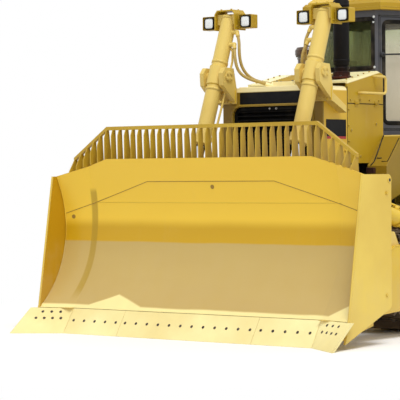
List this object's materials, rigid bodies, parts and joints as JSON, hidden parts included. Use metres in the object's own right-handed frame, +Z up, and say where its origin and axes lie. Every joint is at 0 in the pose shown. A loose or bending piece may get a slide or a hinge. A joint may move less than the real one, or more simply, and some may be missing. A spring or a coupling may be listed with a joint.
{
  "type": "crawler bulldozer",
  "caption": "Large crawler bulldozer with raised drive sprockets, a lifting and pitching semi-U blade, an enclosed cab with opening doors and a tow hitch.",
  "frame": {"origin": "on the ground under the middle of the machine's box, between the end bit tips and the tow hitch", "axes": "+X forward to the blade, +Y to the machine's left, +Z up"},
  "size_m": [7.6, 4.86, 4.37],
  "materials": {
    "machine_yellow": "gloss enamel",
    "track_steel": "worn steel",
    "grille_black": "satin black",
    "cab_charcoal": "satin charcoal",
    "clear_glass": "clear",
    "exhaust_dark": "heat-dulled",
    "rod_chrome": "polished",
    "hose_rubber": "matt",
    "chair_fabric": "woven"
  },
  "bodies": {
    "hull": {"cab_floor": "machine_yellow", "cab_glass": "clear_glass", "cab_roof": "machine_yellow", "cab_shell": "cab_charcoal", "console": "grille_black", "drawbar": "machine_yellow", "engine_block": "grille_black", "equalizer_bar": "machine_yellow", "exhaust_stack": "exhaust_dark", "fender_left": "machine_yellow", "fender_right": "machine_yellow", "final_drive_left": "machine_yellow", "final_drive_right": "machine_yellow", "fuel_tank": "machine_yellow", "handrails": "grille_black", "hood_sides": "machine_yellow", "hood_top": "machine_yellow", "hose_inner_left": "hose_rubber", "hose_inner_right": "hose_rubber", "hose_outer_left": "hose_rubber", "hose_outer_right": "hose_rubber", "hydraulic_tank": "machine_yellow", "idlers_and_rollers_left": "track_steel", "idlers_and_rollers_right": "track_steel", "lift_yokes": "machine_yellow", "main_frame": "machine_yellow", "operator_chair": "chair_fabric", "precleaner": "grille_black", "radiator_core": "grille_black", "radiator_grille": "grille_black", "radiator_guard": "machine_yellow", "rollover_frame": "machine_yellow", "sprocket_left": "track_steel", "sprocket_right": "track_steel", "track_frame_left": "machine_yellow", "track_frame_right": "machine_yellow", "track_left": "track_steel", "track_right": "track_steel"},
    "push_arms": {"push_arm_left": "machine_yellow", "push_arm_right": "machine_yellow"},
    "blade": {"moldboard": "machine_yellow", "blade_back": "machine_yellow", "blade_lugs": "machine_yellow", "side_plates": "machine_yellow", "cutting_edges": "machine_yellow", "spill_guard": "machine_yellow"},
    "lift_barrel_left": {"lift_barrel_left": "machine_yellow", "lamps_left": "grille_black"},
    "lift_rod_left": {"lift_rod_left": "rod_chrome"},
    "tilt_barrel_left": {"tilt_barrel_left": "machine_yellow"},
    "tilt_rod_left": {"tilt_rod_left": "rod_chrome"},
    "door_left": {"door_left": "cab_charcoal", "door_glass_left": "clear_glass"},
    "lift_barrel_right": {"lift_barrel_right": "machine_yellow", "lamps_right": "grille_black"},
    "lift_rod_right": {"lift_rod_right": "rod_chrome"},
    "tilt_barrel_right": {"tilt_barrel_right": "machine_yellow"},
    "tilt_rod_right": {"tilt_rod_right": "rod_chrome"},
    "door_right": {"door_right": "cab_charcoal", "door_glass_right": "clear_glass"}
  },
  "joints": [
    {"name": "blade_lift", "type": "hinge", "parent": "hull", "child": "push_arms", "pos_m": [-0.6, 0, 0.72], "axis": [0, -1, 0], "range_deg": [-9, 20]},
    {"name": "blade_pitch", "type": "hinge", "parent": "push_arms", "child": "blade", "pos_m": [2.72, 0, 0.42], "axis": [0, -1, 0], "range_deg": [-5, 5]},
    {"name": "lift_swing_left", "type": "hinge", "parent": "hull", "child": "lift_barrel_left", "pos_m": [1.83, 0.74, 3.13], "axis": [0, -1, 0], "range_deg": [-3.15, 6.63], "deforming": ["hose_outer_left", "hose_inner_left"]},
    {"name": "lift_extend_left", "type": "slide", "parent": "lift_barrel_left", "child": "lift_rod_left", "axis": [0.34, 0, -0.9404], "range_m": [-1.105, 0.4994]},
    {"name": "tilt_swing_left", "type": "hinge", "parent": "push_arms", "child": "tilt_barrel_left", "pos_m": [1.3, 1.85, 1.3], "axis": [0, -1, 0], "range_deg": [-0.79, 0.79]},
    {"name": "tilt_extend_left", "type": "slide", "parent": "tilt_barrel_left", "child": "tilt_rod_left", "axis": [0.9719, 0, 0.2356], "range_m": [-0.1057, 0.1057]},
    {"name": "door_left_swing", "type": "hinge", "parent": "hull", "child": "door_left", "pos_m": [-0.70918, 0.88812, 2.4], "axis": [0, 0, 1], "range_deg": [0, 90]},
    {"name": "lift_swing_right", "type": "hinge", "parent": "hull", "child": "lift_barrel_right", "pos_m": [1.83, -0.74, 3.13], "axis": [0, -1, 0], "range_deg": [-3.15, 6.63], "deforming": ["hose_outer_right", "hose_inner_right"]},
    {"name": "lift_extend_right", "type": "slide", "parent": "lift_barrel_right", "child": "lift_rod_right", "axis": [0.34, 0, -0.9404], "range_m": [-1.105, 0.4994]},
    {"name": "tilt_swing_right", "type": "hinge", "parent": "push_arms", "child": "tilt_barrel_right", "pos_m": [1.3, -1.85, 1.3], "axis": [0, -1, 0], "range_deg": [-0.79, 0.79]},
    {"name": "tilt_extend_right", "type": "slide", "parent": "tilt_barrel_right", "child": "tilt_rod_right", "axis": [0.9719, 0, 0.2356], "range_m": [-0.1057, 0.1057]},
    {"name": "door_right_swing", "type": "hinge", "parent": "hull", "child": "door_right", "pos_m": [-0.70918, -0.88812, 2.4], "axis": [0, 0, -1], "range_deg": [0, 90]}
  ],
  "couplings": [
    {"joint": "lift_swing_left", "follows": "blade_lift", "ratio": 0.3165},
    {"joint": "lift_extend_left", "follows": "blade_lift", "m_per_rad": -3.1541},
    {"joint": "tilt_swing_left", "follows": "blade_pitch", "ratio": 0.1386},
    {"joint": "tilt_extend_left", "follows": "blade_pitch", "m_per_rad": -1.1888},
    {"joint": "lift_swing_right", "follows": "blade_lift", "ratio": 0.3165},
    {"joint": "lift_extend_right", "follows": "blade_lift", "m_per_rad": -3.1541},
    {"joint": "tilt_swing_right", "follows": "blade_pitch", "ratio": 0.1386},
    {"joint": "tilt_extend_right", "follows": "blade_pitch", "m_per_rad": -1.1888}
  ]
}
